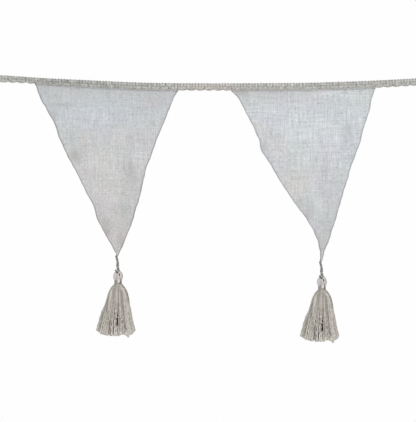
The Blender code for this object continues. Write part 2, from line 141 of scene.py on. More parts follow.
# Folds and creases in millimetres, with the columns x and z of both ends, width and height towards
# the viewer
FOLDS = {
    "left": (
        (-99, -78, -78, -122, 7, -2.2),
        (-117, -32, -104, -96, 11, 2.4),
        (-150, -66, -136, -92, 6, -1.8),
        (-82, -40, -72, -92, 9, 1.8),
        (-117, -112, -112, -142, 5, -1.6),
        (-160, -28, -148, -52, 9, -1.2),
        (-107, -140, -88, -143, 4, -1.4),
        (-98, -124, -100, -172, 5, 1.6),
        (-172, -25, -150, -23.5, 1.8, -0.5),
        (-150, -80, -142, -88, 3, -0.7),
        (-98, -84, -84, -112, 3, -0.7),
        (-64, -40, -60, -50, 2.5, -0.5),
        (-119, -152, -110, -164, 3, -0.6),
        (-96, -136, -88, -142, 2.5, -0.6),
        (-128, -112, -100, -118, 2.2, 0.5),
        (-140, -52, -110, -56, 2.5, 0.5),
    ),
    "right": (
        (98, -28, 104, -78, 12, 2.6),
        (62, -58, 82, -82, 6, -2),
        (133, -72, 131, -122, 5, -2),
        (160, -40, 155, -76, 6, -1.8),
        (150, -84, 143, -132, 6, 1.6),
        (98, -112, 116, -146, 6, -1.8),
        (112, -92, 122, -150, 7, 2),
        (136, -148, 132, -172, 4, -1.2),
        (76, -99, 121, -100.5, 1.6, -0.5),
        (34, -9, 47, -12, 2, -0.5),
        (144, -33, 151, -34, 1.6, -0.5),
        (158, -44, 160, -66, 3, -0.6),
        (132, -82, 131, -112, 2.5, -0.6),
        (61, -64, 68, -76, 3, -0.7),
        (105, -128, 112, -150, 3, -0.7),
        (84, -60, 112, -64, 2.5, 0.5),
    ),
}

# Soft stains, with painted shade and light on the folds and under the braid, in millimetres, with the
# columns x, z, reach across, reach up, warmth and darkness
STAINS_AND_PAINTED_SHADING = {
    "left": (
        (-60.5, -21.3, 8, 9, 1, 0.05),
        (-61.6, -44.8, 2.6, 3, 0.8, 0.3),
        (-90.7, -58, 20, 12, 0.7, 0),
        (-140, -63.8, 6, 11, 1, 0.06),
        (-149, -81.8, 6, 7, 0.2, 0.4),
        (-115, -157, 6, 6, 0.6, 0.22),
        (-93, -142, 6, 6, -0.7, 0.08),
        (-87, -96, 4.5, 15, 0, 0.24),
        (-78, -82, 6, 9, 0, -0.16),
        (-104, -89, 6, 10, 0, -0.16),
        (-174, -38, 5, 8, 0, 0.24),
        (-113, -167, 4, 5, 0, 0.3),
        (-97, -178, 4, 8, 0, 0.2),
        (-162, -24.6, 14, 1.6, 0, 0.25),
        (-87, -60.5, 0.8, 1.2, 0, 0.5),
        (-128, -40, 26, 14, -0.2, -0.1),
        (-108, -122, 12, 16, 0, -0.08),
    ),
    "right": (
        (38, -12, 7, 4.5, 0.9, 0.28),
        (142, -12, 28, 6, -0.2, -0.22),
        (148, -33.6, 3.5, 0.8, 0, 0.45),
        (144.5, -63.8, 2.5, 4.5, 0, -0.3),
        (159, -55, 2.5, 9, 0, 0.22),
        (161.3, -69.4, 3, 1.2, 0, 0.35),
        (58, -49, 5, 5, 1, 0.05),
        (63.8, -69.4, 4, 6, -0.2, 0.3),
        (99, -99.7, 23, 1, 0, 0.14),
        (78, -72, 15, 16, 0.9, 0),
        (96, -113, 15, 18, 0.9, 0),
        (132, -97, 2.4, 17, 0, 0.12),
        (128, -80, 6, 6, 0, -0.12),
        (166, -37, 12, 10, 0, -0.14),
        (49, -37, 7, 7, 0, -0.14),
        (153, -88, 7, 8, 0, -0.2),
        (70, -55, 2, 10, 0, 0.2),
        (112, -147, 4, 7, 0, 0.22),
        (135, -137, 6, 14, 0, 0.12),
        (128, -182, 6, 9, 0.8, 0.1),
        (104, -45, 26, 22, -0.1, -0.12),
        (124, -128, 7, 20, 0, -0.1),
    ),
}
# How dim and how warm the cloth is at some shares of its height, from the top down
TONE_SHARES = (0.06, 0.16, 0.42, 0.85)
DIMNESS = {"left": (0.35, 0.27, 0.22, 0.34), "right": (0.26, 0.10, 0.11, 0.27)}
WARMTH = {"left": (-0.5, -0.9, 0.1, 0.7), "right": (-0.3, -0.8, -0.5, 0.0)}
# How dark the left and the right hem are, at even steps down: partly the doubled cloth and partly
# painted shade on the rolled edge
HEM_TONES = {
    "left": ((0.80, 0.85, 0.60, 0.62, 1.1), (0.35, 0.55, 0.62, 0.62, 0.75)),
    "right": ((0.32, 0.48, 0.52, 0.50, 0.60), (0.22, 0.48, 0.58, 0.55, 0.65)),
}
THREAD_PITCH = 0.8 * MM
THREAD_DRIFT = 3.0 * MM
FOLD_FADE = 24.0 * MM
TUCKED = 2.5 * MM
FLARE = 1.3 * MM
FLARE_REACH = 1.6 * MM
EDGE_WOBBLE = 0.5 * MM
GAP = 0.3 * MM
HEM_SOLID = 1.8 * MM
CLOTH_Y = GAP + HEM_SOLID / 2
LINEN_THICK = 0.38 * MM
HEM_THICK = 0.95 * MM
HEM_WIDTH = 1.4 * MM
HEM_SHARE = 0.22
# A hem's section, with the columns share of its width and share of its thickness
HEM_SECTION = ((0.0, 0.5), (0.18, 1.0), (0.55, 1.0), (0.9, 0.9))
STITCH_RADIUS = 0.14 * MM
STITCHES_FROM = 10.0 * MM
CLOTH_ROWS = 150
CLOTH_COLUMNS = 84

# Tassels: the neck's centre, with the columns across and up, in millimetres
NECKS = {"left": (-100.8, -222.9), "right": (127.8, -229.2)}
TASSEL_Y = CLOTH_Y + HEM_SOLID / 2 + GAP + 1.3 * MM

# Skirt in millimetres, with the columns drop below the neck's centre, reach left and reach right
SKIRT = (
    (1.5, 3.9, 3.9), (2.9, 4.6, 4.7), (5, 7.2, 7.1), (8.4, 9.4, 9.2), (11.8, 11.2, 10.9),
    (18.5, 13, 12.3), (25.2, 14.9, 13.2), (31.9, 18.3, 14.8), (38.6, 20.7, 16), (45.4, 22.4, 17.2),
    (52.1, 24.5, 19.1), (62, 26.5, 21.4),
)
SKIRT_DEPTH = 0.76

# Where the skirt's yarns end in millimetres, with the columns across and drop
END_LINE = (
    (-26.5, 54), (-24.3, 54.6), (-20, 57.5), (-14, 58.8), (-5, 59.8), (1, 59.9), (4.5, 57.8),
    (8, 58.6), (11.5, 60.2), (14.5, 59), (17, 57.6), (20.5, 54.8), (22, 54),
)
STRAY_END = 61.5
STRAY_ANGLE = -0.95

# Slits between the skirt's yarns in millimetres, with the columns drop, place across and opening
SLITS = (
    (
        (34.5, 0.7, 0), (36, 0.6, 0.95), (37.2, 0.5, 0.95), (38.6, 0.2, 0.1), (40.5, -0.6, 0.95),
        (47.5, -0.9, 1), (49.5, -1, 0),
    ),
    ((24, 7, 0), (32, 8.4, 0.4), (46, 9.4, 0.5), (52, 9.8, 0)),
    ((22, -11.4, 0), (29, -12, 0.6), (34, -12.4, 0.1), (36, -12.6, 0)),
)

# Lighter and darker strands in millimetres, with the columns drop and place across at both ends,
# reach and shift of tone
STRANDS = (
    (9, -6.9, 24, -8.7, 1.1, 0.38),
    (9, -10.4, 28, -15, 0.8, -0.1),
    (19, -11, 34, -12.9, 1.1, -0.4),
    (8, 0.9, 35, 0.7, 0.8, -0.26),
    (8, -3.2, 30, -3.6, 2.6, -0.14),
    (9, 5, 34, 6.2, 2.8, -0.42),
    (7, 5.6, 17, 8.9, 1.2, 0.55),
    (17, 8.9, 34, 11.8, 1.1, 0.5),
    (12, 9.9, 24, 11.9, 0.9, -0.4),
    (27, 6.9, 54, 9.1, 1.2, -0.62),
    (24, -0.8, 50, -2.2, 2.4, -0.26),
    (38, 1.2, 52, 1.2, 1.4, -0.2),
    (46, -8, 57, -8.5, 1.8, -0.28),
    (36, 4.5, 56, 5.5, 3.2, -0.16),
    (33, 7.4, 52, 8.6, 1, -0.55),
    (36, 13.4, 56, 16, 2.6, 0.26),
    (30, -12.5, 46, -16.5, 1.6, -0.06),
)

# Layers of yarn in the skirt, with the columns number, share of the reach and whether it is finely made
YARN_LAYERS = (
    (64, 1, True),
    (60, 0.95, True),
    (54, 0.88, False),
    (38, 0.72, False),
    (28, 0.58, False),
    (18, 0.42, False),
    (10, 0.25, False),
)
# Loose yarns on the skirt's front, with the columns route across and down, girth and tone
LOOSE_ENDS = (
    (((-8.6, 20.5), (-9.6, 24), (-9.4, 27.5), (-9, 31.5)), 0.6, 0.85),
    (((-12.2, 28), (-12.3, 29.3), (-12.5, 30.8)), 0.6, -0.25),
    (((-2.4, 38), (-0.6, 38.9), (1.4, 39.3), (4, 38.9)), 0.45, 0.62),
)
LOCKS = 24
BLUNT = 0.6
YARN_RADIUS = 1.0 * MM
YARN_LAY = 4.4 * MM
YARN_FLAT = 0.2
CRIMP_SHADE_STEP = 1.3
# Step in millimetres of the painted shade and light along the crinkled yarns
SMOOTH_DROP = 20.0
FIBRES = 120
FIBRE_RADIUS = 0.05 * MM

# Crown in millimetres, with the columns radius and height of the line that its folded yarns follow,
# and the place across and up of the small dark hole between them
CROWN_LINE = (
    (3.7, 1.6), (4.3, 3.2), (4.8, 5.2), (4.7, 7.6), (4, 9.7), (2.7, 11.1), (1.5, 11), (0.8, 9.2),
)
# A folded yarn's girth: shares of its length, and radii in millimetres there
CROWN_GIRTH = ((0, 0.3, 0.7, 1), (0.5, 0.84, 0.74, 0.45))
CROWN_YARNS = 24
CROWN_STEPS = 36
HOLE = (1.5, 8.3)
HOLE_REACH = 1.5 * MM
HOLE_OPENING = 1.1 * MM
CORD_CLEARANCE = 1.9 * MM

# Core under the crown, neck and shoulder, with the columns radius and height in millimetres
CORE_LINE = (
    (2.2, 9.8), (3.4, 8.6), (4, 6.5), (3.8, 4.6), (3, 2.8), (2.9, -2.6), (5.2, -5), (7.2, -9),
    (8.2, -14), (6, -19), (1, -22),
)
CORE_SIDES = 24

# Dark loop of the knot in millimetres round the neck, with the columns across, up and tone
KNOT_LOOP = (
    (0.2, 4.1, 0.7), (1.6, 3.9, 0.45), (2.7, 3, 0.12), (3.3, 1.6, 0), (3.4, 0, 0), (3, -1.6, 0.05),
    (1.9, -2.6, 0.15), (0.3, -2.7, 0.35), (-1.2, -2, 0.45),
)
# Bright strands of the knot, light as a painted highlight on the neck's front, in millimetres, with the
# columns across, half length, radius and tone
KNOT_HIGHLIGHT_STRANDS = (
    (-0.2, 2.1, 0.54, 0.7),
    (0.7, 2.5, 0.68, 0.8),
    (1.6, 2.3, 0.6, 0.78),
)
LOOP_LIES_AT = 4.55
LOOP_RADIUS = 0.48 * MM
STRANDS_LIE_AT = 4.3
WRAP_TURNS = 4
WRAP_RADIUS = 0.66 * MM
NECK_RADIUS = 3.8

# Hanger cord: its route in millimetres from the neck's centre
HANGER_ROUTE = (
    (-0.7, 0, 32.6), (-1.1, 0, 30.3), (-1.9, -0.1, 28.3), (-1.4, -0.2, 26.1), (-0.8, -0.3, 23.9),
    (-0.5, -0.4, 21.3), (-0.5, -0.4, 17.9), (-0.2, -0.4, 14.9), (0.7, -0.4, 12.7),
    (1.3, -0.5, 10.9), (1.4, -0.7, 9), (0.9, -0.3, 7.2), (0.1, -1.2, 6.4), (-0.3, -2.5, 7.4),
    (-0.5, -3.5, 9.2), (-1, -4, 10.8), (-2, -4, 12.2), (-3, -3.9, 13.5),
)
HANGER_LAY = 6.8 * MM
HANGER_PLY = 0.92 * MM
HANGER_OFFSET = 0.58 * MM
HANGER_TAIL = 8.0 * MM
HANGER_FUZZ = 26


def between(rows, at, column):
    """A table's column at places in its first column, along straight lines."""
    ordered = sorted(rows)
    return np.interp(at, [row[0] for row in ordered], [row[column] for row in ordered])


def softened(rows, at, column, reach):
    """The same with its corners rounded over the reach."""
    at = np.asarray(at, float)
    shifts = (-1.0, -0.5, 0.0, 0.5, 1.0)
    return sum(between(rows, at + reach * shift, column) for shift in shifts) / len(shifts)


def smoothstep(share):
    share = np.clip(share, 0.0, 1.0)
    return share * share * (3 - 2 * share)


def sway(chance, reach):
    return chance.uniform(-reach, reach)


def hump(at, middle, reach):
    """A smooth rise to one at the middle, gone a few reaches away from it."""
    return np.exp(-((at - middle) / reach) ** 2)


def round_axis(angle, radius, height, deep=1.0):
    """Points round an upright axis, with deep as the share of the radius from front to back."""
    return np.stack((np.cos(angle) * radius, np.sin(angle) * radius * deep, height + 0 * angle), axis=1)


def lengths_along(path):
    """How far along a path each of its points lies."""
    return np.concatenate(([0], np.cumsum(np.linalg.norm(np.diff(path, axis=0), axis=1))))


def at_lengths(path, lengths, want):
    """The points of a path at the wanted lengths along it."""
    return np.stack([np.interp(want, lengths, path[:, axis]) for axis in range(3)], axis=1)


def smooth_route(points, count):
    """Points at even steps along a smooth curve through the given ones."""
    points = np.asarray(points, float)
    padded = np.vstack((2 * points[0] - points[1], points, 2 * points[-1] - points[-2]))
    t = np.linspace(0, 1, 16, endpoint=False)[:, None]
    pieces = []
    for spot in range(len(points) - 1):
        before, start, end, after = padded[spot:spot + 4]
        pull = (end - before) * t + (2 * before - 5 * start + 4 * end - after) * t ** 2
        pull += (3 * start - before - 3 * end + after) * t ** 3
        pieces.append(start + pull / 2)
    fine = np.vstack(pieces + [points[-1:]])
    lengths = lengths_along(fine)
    return at_lengths(fine, lengths, np.linspace(0, lengths[-1], count))


class Yarns:
    """Collects tubes and skins, and makes one mesh of them with a tone and a hue at each point."""

    def __init__(self):
        self.points = []
        self.tones = []
        self.hues = []
        self.corners = []
        self.sizes = []
        self.count = 0

    def frames(self, path):
        along = np.gradient(path, axis=0)
        along /= np.maximum(np.linalg.norm(along, axis=1), 1e-12)[:, None]
        side = np.empty_like(path)
        start = np.array((0.0, -1.0, 0.0))
        if abs(along[0] @ start) > 0.9:
            start = np.array((1.0, 0.0, 0.0))
        for spot, way in enumerate(along):
            start = start - way * (start @ way)
            start /= math.sqrt(start @ start)
            side[spot] = start
        return side, np.cross(along, side)

    def add(self, path, radius, sides=6, tone=0.5, hue=0.0, flat=0.0, lay=0.0, turn=0.0):
        """One tube. With flat and lay, its section is an oval that turns, as a plied yarn's does."""
        path = np.asarray(path, float)
        steps = len(path)
        radius = np.array(np.broadcast_to(radius, steps), float)
        radius[[0, -1]] *= BLUNT
        side, other = self.frames(path)
        gone = lengths_along(path)
        spin = turn + (TURN * gone / lay if lay else 0 * gone)
        angle = TURN * np.arange(sides) / sides
        wide = np.cos(angle)[None, :] * radius[:, None]
        narrow = np.sin(angle)[None, :] * (radius * (1 - np.asarray(flat)))[:, None]
        x = wide * np.cos(spin)[:, None] - narrow * np.sin(spin)[:, None]
        y = wide * np.sin(spin)[:, None] + narrow * np.cos(spin)[:, None]
        ring = side[:, None, :] * x[:, :, None] + other[:, None, :] * y[:, :, None]
        tone, hue = (np.broadcast_to(values, steps)[:, None] for values in (tone, hue))
        self.add_skin(path[:, None, :] + ring, tone, hue)

    def plied(self, path, radius, offset, lay, sides=6, tone=0.5, hue=0.0, contrast=0.1):
        """Two plies laid round each other along a path."""
        side, other = self.frames(path)
        gone = lengths_along(path)
        for ply in range(2):
            angle = (TURN * gone / lay + math.pi * ply + 0.5)[:, None]
            strand = path + (side * np.cos(angle) + other * np.sin(angle)) * offset
            self.add(strand, radius, sides, tone + contrast * (ply - 0.5), hue, 0.1, lay * 0.4)

    def add_skin(self, grid, tone=0.5, hue=0.0, sheet=False):
        """A closed skin from rings of points, each going round anticlockwise, with flat ends.

        A sheet's ring goes along its back and returns along its front, and its ends are small quads.
        """
        steps, sides, _ = grid.shape
        self.points.append(grid.reshape(-1, 3))
        self.tones.append(np.broadcast_to(tone, (steps, sides)).ravel())
        self.hues.append(np.broadcast_to(hue, (steps, sides)).ravel())
        here = np.arange(steps * sides).reshape(steps, sides) + self.count
        after = np.roll(here, -1, axis=1)
        quads = np.stack((here[:-1], after[:-1], after[1:], here[1:]), axis=-1).reshape(-1, 4)
        self.corners.append(quads.ravel())
        self.sizes.append(np.full(len(quads), 4))
        if sheet:
            first = np.arange(sides // 2 - 1)
            ends = np.stack((first, first + 1, sides - 2 - first, sides - 1 - first), axis=1)
            self.corners.append(np.concatenate((here[0][ends[:, ::-1]].ravel(), here[-1][ends].ravel())))
            self.sizes.append(np.full(2 * len(ends), 4))
        else:
            self.corners.append(np.concatenate((here[0][::-1], here[-1])))
            self.sizes.append(np.array((sides, sides)))
        self.count += steps * sides

    def mesh(self, name):
        points = np.concatenate(self.points)
        corners = np.concatenate(self.corners)
        sizes = np.concatenate(self.sizes)
        mesh = bpy.data.meshes.new(name)
        mesh.vertices.add(len(points))
        mesh.vertices.foreach_set("co", points.astype(np.float32).ravel())
        mesh.loops.add(len(corners))
        mesh.loops.foreach_set("vertex_index", corners.astype(np.int32))
        mesh.polygons.add(len(sizes))
        starts = np.concatenate(([0], np.cumsum(sizes)[:-1]))
        mesh.polygons.foreach_set("loop_start", starts.astype(np.int32))
        mesh.polygons.foreach_set("use_smooth", np.ones(len(sizes), bool))
        mesh.update(calc_edges=True)
        mesh.validate()
        for title, values in (("tone", self.tones), ("hue", self.hues)):
            layer = mesh.attributes.new(title, "FLOAT", "POINT")
            layer.data.foreach_set("value", np.concatenate(values).astype(np.float32))
        return mesh


def placed(name, data, location):
    thing = bpy.data.objects.new(name, data)
    thing.location = location
    bpy.context.scene.collection.objects.link(thing)
    return thing


def show(name, mesh, material, location=(0, 0, 0), nodes=()):
    """A visible piece of the model, in place of the nodes that it replaces."""
    piece = placed(name, mesh, location)
    if not mesh.materials:
        mesh.materials.append(material)
    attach(piece, "root")
    if nodes:
        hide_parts(*nodes)
    return piece


def show_pair(name, mesh, material, node):
    """One mesh at both necks, each in place of that side's node."""
    for side, (across, up) in NECKS.items():
        show(name + side, mesh, material, (across * MM, TASSEL_Y, up * MM), [node + side])


class Nodes:
    """Short calls for building the nodes of a material or of the surround."""

    def __init__(self, owner):
        owner.use_nodes = True
        self.owner = owner
        self.tree = owner.node_tree

    def fill(self, node, sockets):
        """Sets each socket to a number or colour, or links it to another node's output."""
        for name, value in sockets.items():
            if isinstance(value, bpy.types.NodeSocket):
                self.tree.links.new(value, node.inputs[name])
            else:
                node.inputs[name].default_value = value
        return node

    def node(self, kind, sockets=None, **settings):
        node = self.tree.nodes.new(kind)
        for name, value in settings.items():
            setattr(node, name, value)
        return self.fill(node, sockets or {})

    def attribute(self, name):
        return self.node("ShaderNodeAttribute", attribute_name=name).outputs["Fac"]

    def place(self):
        return self.node("ShaderNodeTexCoord").outputs["Object"]

    def math(self, operation, first, second, clamp=False):
        sockets = {0: first, 1: second}
        return self.node("ShaderNodeMath", sockets, operation=operation, use_clamp=clamp).outputs[0]

    def plus(self, *terms):
        total = terms[0]
        for term in terms[1:]:
            total = self.math("ADD", total, term)
        return total

    def times(self, first, second):
        return self.math("MULTIPLY", first, second)

    def vector(self, operation, first, second):
        return self.node("ShaderNodeVectorMath", {0: first, 1: second}, operation=operation).outputs[0]

    def spread(self, source, low, high, to_low=0.0, to_high=1.0):
        sockets = {"Value": source, "From Min": low, "From Max": high}
        sockets.update({"To Min": to_low, "To Max": to_high})
        return self.node("ShaderNodeMapRange", sockets, clamp=True).outputs[0]

    def swing(self, source, reach):
        """A noise as a shift up or down by at most the reach."""
        return self.spread(source, 0.3, 0.7, -reach, reach)

    def noise(self, vector, scale, detail=2.0, roughness=0.5, output="Fac"):
        sockets = {"Vector": vector, "Scale": scale, "Detail": detail, "Roughness": roughness}
        return self.node("ShaderNodeTexNoise", sockets).outputs[output]

    def stretched(self, vector, x, y, z):
        return self.node("ShaderNodeMapping", {"Vector": vector, "Scale": (x, y, z)}).outputs[0]

    def ripple(self, vector, axis):
        """The waves of the threads along one axis."""
        along = self.node("ShaderNodeSeparateXYZ", {0: vector}).outputs[axis]
        return self.math("SINE", self.times(along, TURN / THREAD_PITCH), 0.0)

    def mix(self, share, first, second, blend="MIX"):
        node = self.node("ShaderNodeMix", {0: share}, data_type="RGBA", blend_type=blend)
        colours = [socket for socket in node.inputs if socket.type == "RGBA"]
        for socket, value in zip(colours, (first, second)):
            if isinstance(value, bpy.types.NodeSocket):
                self.tree.links.new(value, socket)
            else:
                socket.default_value = (*value, 1.0)
        return next(socket for socket in node.outputs if socket.type == "RGBA")

    def tint(self, colour, cast):
        return self.mix(1.0, colour, cast, "MULTIPLY")

    def mix_shaders(self, share, first, second):
        return self.node("ShaderNodeMixShader", {0: share, 1: first, 2: second}).outputs[0]

    def bump(self, height, distance):
        sockets = {"Height": height, "Strength": 0.5, "Distance": distance}
        return self.node("ShaderNodeBump", sockets).outputs[0]


def tinted(nodes, place, colour, cool, warm, scale, reach):
    """The colour under a tint between cool and warm, from the hue attribute and soft noise."""
    drift = nodes.noise(place, scale)
    share = nodes.plus(nodes.spread(nodes.attribute("hue"), -1.0, 1.0), nodes.swing(drift, reach))
    share = nodes.math("MINIMUM", nodes.math("MAXIMUM", share, 0.0), 1.0)
    return nodes.tint(colour, nodes.mix(share, cool, warm))


def yarn_material(name, mottling=0.16, cast=0.0, fuzz=0.14):
    """Spun yarn: a tone for each yarn, mottled fibres along it and a faint cast of green or purple."""
    dark, light, cool, warm = YARN_COLOURS[name]
    nodes = Nodes(bpy.data.materials.new(name))
    place = nodes.place()
    mottle = nodes.noise(place, 420.0, 3.0, 0.6)
    fibres = nodes.noise(nodes.stretched(place, 3.0, 3.0, 0.6), 2600.0, 3.0, 0.7)
    share = nodes.plus(nodes.attribute("tone"), nodes.swing(mottle, mottling))
    share = nodes.math("ADD", share, nodes.swing(fibres, fuzz), clamp=True)
    streaks = nodes.noise(nodes.stretched(place, 1.0, 1.0, 0.12), 330.0, 1.0)
    purple = (1 + cast, 1 - cast, 1 + cast)
    green = (1 - cast, 1 + cast, 1 - cast)
    casts = nodes.mix(nodes.spread(streaks, 0.35, 0.65), purple, green)
    colour = nodes.tint(nodes.mix(share, dark, light), casts)
    nodes.fill(nodes.tree.nodes["Principled BSDF"], {
        "Base Color": tinted(nodes, place, colour, cool, warm, 75.0, 0.35),
        "Normal": nodes.bump(fibres, 0.15 * MM),
        "Roughness": 0.85,
        "Sheen Weight": 0.15,
        "Sheen Roughness": 0.6,
        "Specular IOR Level": 0.2,
    })
    return nodes.owner


def linen_material():
    """Sheer slubbed linen: threads both ways, thick and thin, with small holes between them."""
    nodes = Nodes(bpy.data.materials.new("pennant_linen"))
    place = nodes.place()
    bend = nodes.vector("SUBTRACT", nodes.noise(place, 22.0, 1.0, output="Color"), (0.5, 0.5, 0.5))
    threads = nodes.vector("ADD", place, nodes.vector("MULTIPLY", bend, (THREAD_DRIFT,) * 3))
    warp = nodes.noise(nodes.stretched(threads, 1.0, 0.0, 0.06), 660.0, 2.0, 0.65)
    weft = nodes.noise(nodes.stretched(threads, 0.06, 0.0, 1.0), 560.0, 2.0, 0.65)
    short_warp = nodes.noise(nodes.stretched(threads, 1.0, 0.0, 0.25), 950.0, 1.0)
    short_weft = nodes.noise(nodes.stretched(threads, 0.25, 0.0, 1.0), 950.0, 1.0)
    specks = nodes.noise(place, 1100.0, 2.0, 0.6)
    patches = nodes.noise(place, 30.0)
    total = nodes.plus(
        nodes.times(warp, 1.05),
        nodes.times(weft, 0.82),
        nodes.times(nodes.plus(short_warp, short_weft), 0.6),
        nodes.times(specks, 0.25),
        nodes.times(patches, 0.18),
    )
    cloth = nodes.mix(nodes.spread(total, 1.3, 2.17), *LINEN_THREADS)
    green = nodes.noise(place, 34.0, 1.0, 0.4)
    cloth = nodes.tint(cloth, nodes.mix(nodes.spread(green, 0.35, 0.65), *LINEN_CASTS))
    cloth = tinted(nodes, place, cloth, *LINEN_TINTS, 16.0, 0.16)
    tone = nodes.attribute("tone")
    uneven = nodes.times(tone, nodes.spread(nodes.plus(warp, weft), 0.7, 1.3, 0.55, 1.45))
    colour = nodes.tint(cloth, nodes.mix(uneven, *LINEN_SHADES))
    weave = nodes.times(nodes.ripple(threads, "X"), nodes.ripple(threads, "Z"))
    relief = nodes.plus(nodes.times(weave, 0.25), nodes.times(total, 0.6))
    shader = nodes.fill(nodes.tree.nodes["Principled BSDF"], {
        "Base Color": colour,
        "Normal": nodes.bump(relief, 0.25 * MM),
        "Roughness": 0.9,
        "Sheen Weight": 0.15,
        "Specular IOR Level": 0.2,
    })
    through = nodes.node("ShaderNodeBsdfTranslucent", {"Color": colour})
    cloth_shader = nodes.mix_shaders(0.25, shader.outputs[0], through.outputs[0])
    closed = nodes.math("SUBTRACT", 1.0, tone, clamp=True)
    holes = nodes.times(nodes.spread(weave, -1.0, 1.0, 0.02, 0.14), closed)
    clear = nodes.node("ShaderNodeBsdfTransparent")
    sheer = nodes.mix_shaders(holes, cloth_shader, clear.outputs[0])
    nodes.fill(nodes.tree.nodes["Material Output"], {"Surface": sheer})
    return nodes.owner


def trim_top(along):
    return softened(TRIM_LINE, np.asarray(along) / MM, 1, TRIM_BLEND) * MM


def trim_height(along):
    return softened(TRIM_LINE, np.asarray(along) / MM, 2, TRIM_BLEND) * MM


def scallop(along):
    across = ((along - SCALLOP_CREST) / SCALLOP_PITCH + 0.5) % 1.0
    return 1 - (2 * across - 1) ** 2


def trim_place(along, down, front):
    """A place on the braid: along it, down from its top edge, and towards the viewer from its back."""
    along = np.asarray(along, float)
    back = np.broadcast_to(-np.asarray(front), along.shape)
    return np.stack((along, back, trim_top(along) - down), axis=-1)


def shade_trim(yarns):
    """Warmer, lighter and more even near the middle, and cooler to both sides."""
    for spot, points in enumerate(yarns.points):
        near = hump(points[:, 0], 2 * MM, 34 * MM)
        spare = (yarns.tones[spot] - 0.6) * (1 - 0.45 * near)
        yarns.tones[spot] = 0.6 + spare + between(TRIM_SHADE, points[:, 0] / MM, 1)
        yarns.hues[spot] = -0.6 + 1.3 * near


def make_ground(yarns, start, end):
    """The ground behind the stitches, painted dark as the shade in the small holes between them, closed
    at both ends.
    """
    along = np.arange(start, end + 0.1 * MM, SCALLOP_PITCH / 12)
    height = trim_height(along)
    low = height - SCALLOP_DEPTH * (1 - scallop(along)) - 0.25 * MM
    rows = (
        (0.10, 0.70 * MM),
        (0.45, 0.70 * MM),
        (0.85, 1.20 * MM),
        (0.85, 0.50 * low),
        (0.85, 0.88 * low),
        (0.45, low),
        (0.05, low),
        (0.02, 0.70 * low),
        (0.02, 0.35 * low),
    )
    ground = np.stack([trim_place(along, down, front * MM) for front, down in rows], axis=1)
    yarns.add_skin(ground, 0.24)


def make_ladder(yarns, chance, start, end):
    """The top half: dark picots, light posts with a bar between each two, and small holes."""
    even = np.linspace(-1, 1, len(BULGE))
    for post in np.arange(start + PICOT_PITCH / 2, end - PICOT_PITCH / 2, PICOT_PITCH):
        tall = float(trim_height(post)) / BRAID_TALL
        post += sway(chance, 0.2) * MM
        body = sway(chance, 0.07)
        for shift, pinch in POSTS:
            tone = 0.6 + body + sway(chance, 0.16)
            lean = sway(chance, 0.2) * MM
            down = np.linspace(0.55 + 0.3 * abs(shift), POST_DROP, len(BULGE)) * MM * tall
            across = post + shift * MM * (1 - pinch * POST_WAIST) + lean * even
            stitch = trim_place(across, down, (1.15 + 0.25 * BULGE) * MM)
            yarns.add(stitch, POST_RADIUS, 5, tone)
        notch = post + PICOT_PITCH / 2
        for down, rise, tone in BARS:
            drop = down * tall - rise * BULGE + sway(chance, 0.25) * even
            bar = trim_place(notch + 0.36 * PICOT_PITCH * even, drop * MM, (0.95 + 0.3 * BULGE) * MM)
            yarns.add(bar, BAR_RADIUS, 5, tone + sway(chance, 0.15))
        turn = np.linspace(0, math.pi, 8)
        lift = chance.uniform(-0.15, 0.1)
        loop = trim_place(
            notch + np.cos(turn) * 0.55 * MM,
            (1.1 - (0.75 + lift) * np.sin(turn)) * MM,
            (0.8 + 0.35 * np.sin(turn)) * MM,
        )
        yarns.add(loop, PICOT_RADIUS, 5, 0.08 + chance.uniform(-0.08, 0.12))


def make_fans(yarns, chance, start, end):
    """The lower half: spokes that open from under the holes to each scallop."""
    first = SCALLOP_CREST + math.ceil((start - SCALLOP_CREST) / SCALLOP_PITCH) * SCALLOP_PITCH
    for crest in np.arange(first, end, SCALLOP_PITCH):
        height = float(trim_height(crest))
        top = SPOKE_DROP * height / BRAID_TALL * MM
        for across in np.linspace(-1, 1, SPOKES):
            foot = crest + across * SCALLOP_PITCH * SPOKE_FOOT
            head = crest + across * SCALLOP_PITCH * SPOKE_HEAD
            if min(foot, head) < start or max(foot, head) > end:
                continue
            reach = height - SCALLOP_DEPTH * (1 - float(scallop(foot))) - 1.3 * MM
            down = np.linspace(top, reach, len(BULGE))
            spine = trim_place(np.linspace(head, foot, len(BULGE)), down, (1.1 + 0.2 * BULGE) * MM)
            # Light tone: partly the pale yarn and partly painted light on the braid's shaded lower half
            yarns.add(spine, SPOKE_RADIUS, 5, 0.77 + chance.uniform(-0.26, 0.2))


def make_trim(material):
    """The braid: a ground, a ladder with picots and small holes, fans and a cord on the scallops."""
    chance = random.Random(11)
    yarns = Yarns()
    start = TRIM_LINE[0][0] * MM
    end = TRIM_LINE[-1][0] * MM
    make_ground(yarns, start, end)
    make_ladder(yarns, chance, start, end)
    make_fans(yarns, chance, start, end)
    fine = np.arange(start, end, 0.4 * MM)
    height = trim_height(fine)
    knots = fine[::25]
    wander = np.interp(fine, knots, [sway(chance, 0.12) * MM for _ in knots])
    wander += 0.15 * MM * np.sin(TURN * fine / PICOT_PITCH)
    rail = trim_place(fine, RAIL_DROP * MM * height / BRAID_TALL + wander, 1.2 * MM)
    yarns.add(rail, RAIL_RADIUS, 6, 0.5)
    dip = SCALLOP_DEPTH * (1 - scallop(fine))
    cord = trim_place(fine, height - 1.35 * MM - 1.25 * dip, 1.3 * MM)
    # Light tones of the cord and the edge: partly the pale yarn and partly painted light against the
    # shade along the lower edge
    yarns.plied(cord, CORD_RADIUS, CORD_OFFSET, CORD_LAY, 5, 0.92)
    edge = trim_place(fine, height - 0.4 * MM - dip, 1.0 * MM)
    yarns.add(edge, EDGE_RADIUS, 6, 0.92, 0, 0.2, 1.8 * MM)
    shade_trim(yarns)
    show("braid_trim", yarns.mesh("braid_trim"), material, nodes=["trim"])


